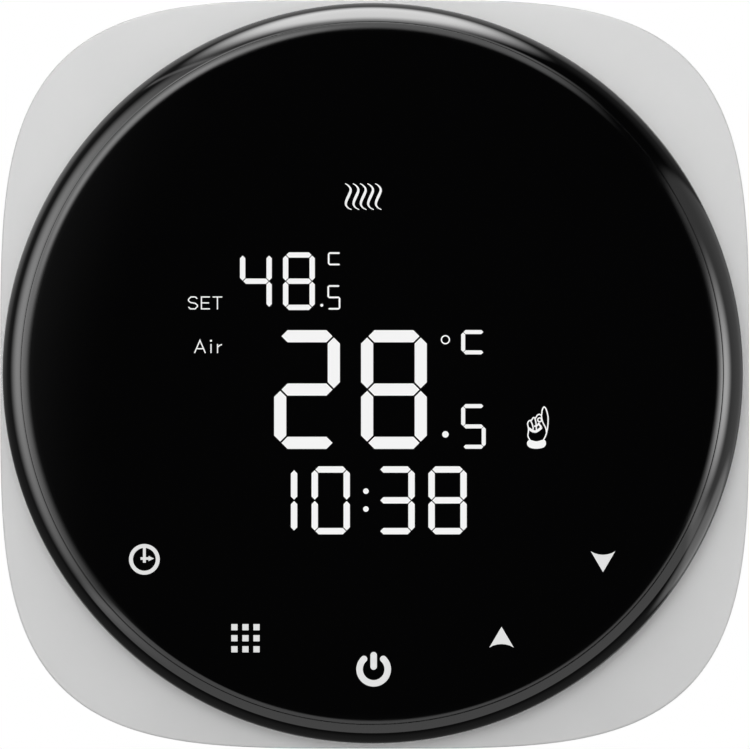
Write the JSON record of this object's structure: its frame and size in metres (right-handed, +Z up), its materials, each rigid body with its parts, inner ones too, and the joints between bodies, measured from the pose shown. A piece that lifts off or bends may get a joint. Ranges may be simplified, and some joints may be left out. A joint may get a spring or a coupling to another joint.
{
  "type": "wall thermostat",
  "caption": "Round black glass touch thermostat on a white rounded-square trim plate, snapped to a steel wall plate, with a rear box for the wall and a screw terminal block.",
  "frame": {"origin": "middle of the pattern of wall screws, on the wall's surface (the back of the mounting plate)", "axes": "+Z up, +Y into the wall, so the glass face looks along -Y, and +X to the right as the user sees it"},
  "size_m": [0.101, 0.044, 0.101],
  "materials": {
    "face_glass": "glossy cover glass, printed black on its back",
    "rim_black": "high-gloss black ABS",
    "trim_white": "fine satin white ABS",
    "housing_white": "matt white flame-retardant PC/ABS",
    "foam_black": "black double-sided foam tape",
    "lcd_dark": "negative LCD glass with white lit segments",
    "diffuser_white": "milky acrylic light guide",
    "contact_rubber": "silicone contact strip",
    "board_green": "glass-fibre board with green solder mask",
    "spring_steel": "nickel-plated spring wire",
    "chip_black": "moulded epoxy with tinned leads",
    "black_plastic": "black nylon",
    "cell_steel": "stainless cell can",
    "gold_pins": "plated square pins in a black strip",
    "relay_blue": "blue relay cover",
    "copper_winding": "enamelled copper wire",
    "yoke_steel": "plated soft iron",
    "contact_brass": "bronze contact leaf",
    "ferrite": "grey ferrite",
    "winding_tape": "yellow polyester tape over the windings",
    "can_sleeve": "dark PVC sleeve on an aluminium can",
    "film_box": "yellow boxed film capacitor",
    "fuse_ceramic": "ceramic fuse body with nickel caps",
    "varistor_blue": "blue epoxy coat",
    "terminal_green": "green polyamide",
    "clamp_brass": "tinned brass cage",
    "zinc_steel": "bright zinc-plated steel"
  },
  "bodies": {
    "wall_plate": {"mounting_plate": "zinc_steel", "wall_screw_left": "zinc_steel", "wall_screw_right": "zinc_steel"},
    "thermostat": {"touch_glass": "face_glass", "glass_adhesive": "foam_black", "front_bezel": "rim_black", "lcd_panel": "lcd_dark", "lcd_backlight": "diffuser_white", "lcd_frame": "housing_white", "zebra_strip": "contact_rubber", "display_board": "board_green", "touch_spring_clock": "spring_steel", "touch_spring_menu": "spring_steel", "touch_spring_power": "spring_steel", "touch_spring_up": "spring_steel", "touch_spring_down": "spring_steel", "controller_chip": "chip_black", "touch_chip": "chip_black", "buzzer": "black_plastic", "coin_cell_holder": "black_plastic", "coin_cell": "cell_steel", "air_sensor": "black_plastic", "board_header": "gold_pins", "board_socket": "black_plastic", "trim_plate": "trim_white", "rear_housing": "housing_white", "power_board": "board_green", "relay_base": "black_plastic", "relay_case": "relay_blue", "relay_coil": "copper_winding", "relay_yoke": "yoke_steel", "relay_contact": "contact_brass", "transformer_core": "ferrite", "transformer_winding": "winding_tape", "filter_capacitor": "can_sleeve", "suppression_capacitor": "film_box", "fuse": "fuse_ceramic", "varistor": "varistor_blue", "terminal_block": "terminal_green", "housing_screw_1": "zinc_steel", "housing_screw_2": "zinc_steel", "housing_screw_3": "zinc_steel", "housing_screw_4": "zinc_steel"},
    "armature": {"relay_armature": "yoke_steel"},
    "clamp_1": {"terminal_clamp_1": "clamp_brass"},
    "screw_1": {"terminal_screw_1": "zinc_steel"},
    "clamp_2": {"terminal_clamp_2": "clamp_brass"},
    "screw_2": {"terminal_screw_2": "zinc_steel"},
    "clamp_3": {"terminal_clamp_3": "clamp_brass"},
    "screw_3": {"terminal_screw_3": "zinc_steel"},
    "clamp_4": {"terminal_clamp_4": "clamp_brass"},
    "screw_4": {"terminal_screw_4": "zinc_steel"},
    "clamp_5": {"terminal_clamp_5": "clamp_brass"},
    "screw_5": {"terminal_screw_5": "zinc_steel"},
    "clamp_6": {"terminal_clamp_6": "clamp_brass"},
    "screw_6": {"terminal_screw_6": "zinc_steel"}
  },
  "joints": [
    {"name": "body_release", "type": "slide", "parent": "wall_plate", "child": "thermostat", "axis": [0, -1, 0], "range_m": [0, 0.045]},
    {"name": "relay_armature_rock", "type": "hinge", "parent": "thermostat", "child": "armature", "pos_m": [-0.0023, 0.0225, 0.0123], "axis": [0, 0, 1], "range_deg": [0, 4], "stiffness_Nm_per_rad": 0.02},
    {"name": "terminal_screw_1_turn", "type": "hinge", "parent": "thermostat", "child": "screw_1", "pos_m": [-0.0127, 0.0245, -0.01885], "axis": [0, -1, 0], "range_deg": [0, 1800]},
    {"name": "terminal_clamp_1_lift", "type": "slide", "parent": "thermostat", "child": "clamp_1", "axis": [0, 1, 0], "range_m": [0, 0.0025]},
    {"name": "terminal_screw_2_turn", "type": "hinge", "parent": "thermostat", "child": "screw_2", "pos_m": [-0.00762, 0.0245, -0.01885], "axis": [0, -1, 0], "range_deg": [0, 1800]},
    {"name": "terminal_clamp_2_lift", "type": "slide", "parent": "thermostat", "child": "clamp_2", "axis": [0, 1, 0], "range_m": [0, 0.0025]},
    {"name": "terminal_screw_3_turn", "type": "hinge", "parent": "thermostat", "child": "screw_3", "pos_m": [-0.00254, 0.0245, -0.01885], "axis": [0, -1, 0], "range_deg": [0, 1800]},
    {"name": "terminal_clamp_3_lift", "type": "slide", "parent": "thermostat", "child": "clamp_3", "axis": [0, 1, 0], "range_m": [0, 0.0025]},
    {"name": "terminal_screw_4_turn", "type": "hinge", "parent": "thermostat", "child": "screw_4", "pos_m": [0.00254, 0.0245, -0.01885], "axis": [0, -1, 0], "range_deg": [0, 1800]},
    {"name": "terminal_clamp_4_lift", "type": "slide", "parent": "thermostat", "child": "clamp_4", "axis": [0, 1, 0], "range_m": [0, 0.0025]},
    {"name": "terminal_screw_5_turn", "type": "hinge", "parent": "thermostat", "child": "screw_5", "pos_m": [0.00762, 0.0245, -0.01885], "axis": [0, -1, 0], "range_deg": [0, 1800]},
    {"name": "terminal_clamp_5_lift", "type": "slide", "parent": "thermostat", "child": "clamp_5", "axis": [0, 1, 0], "range_m": [0, 0.0025]},
    {"name": "terminal_screw_6_turn", "type": "hinge", "parent": "thermostat", "child": "screw_6", "pos_m": [0.0127, 0.0245, -0.01885], "axis": [0, -1, 0], "range_deg": [0, 1800]},
    {"name": "terminal_clamp_6_lift", "type": "slide", "parent": "thermostat", "child": "clamp_6", "axis": [0, 1, 0], "range_m": [0, 0.0025]}
  ],
  "couplings": [
    {"joint": "terminal_screw_1_turn", "follows": "terminal_clamp_1_lift", "rad_per_m": 12566},
    {"joint": "terminal_screw_2_turn", "follows": "terminal_clamp_2_lift", "rad_per_m": 12566},
    {"joint": "terminal_screw_3_turn", "follows": "terminal_clamp_3_lift", "rad_per_m": 12566},
    {"joint": "terminal_screw_4_turn", "follows": "terminal_clamp_4_lift", "rad_per_m": 12566},
    {"joint": "terminal_screw_5_turn", "follows": "terminal_clamp_5_lift", "rad_per_m": 12566},
    {"joint": "terminal_screw_6_turn", "follows": "terminal_clamp_6_lift", "rad_per_m": 12566}
  ]
}
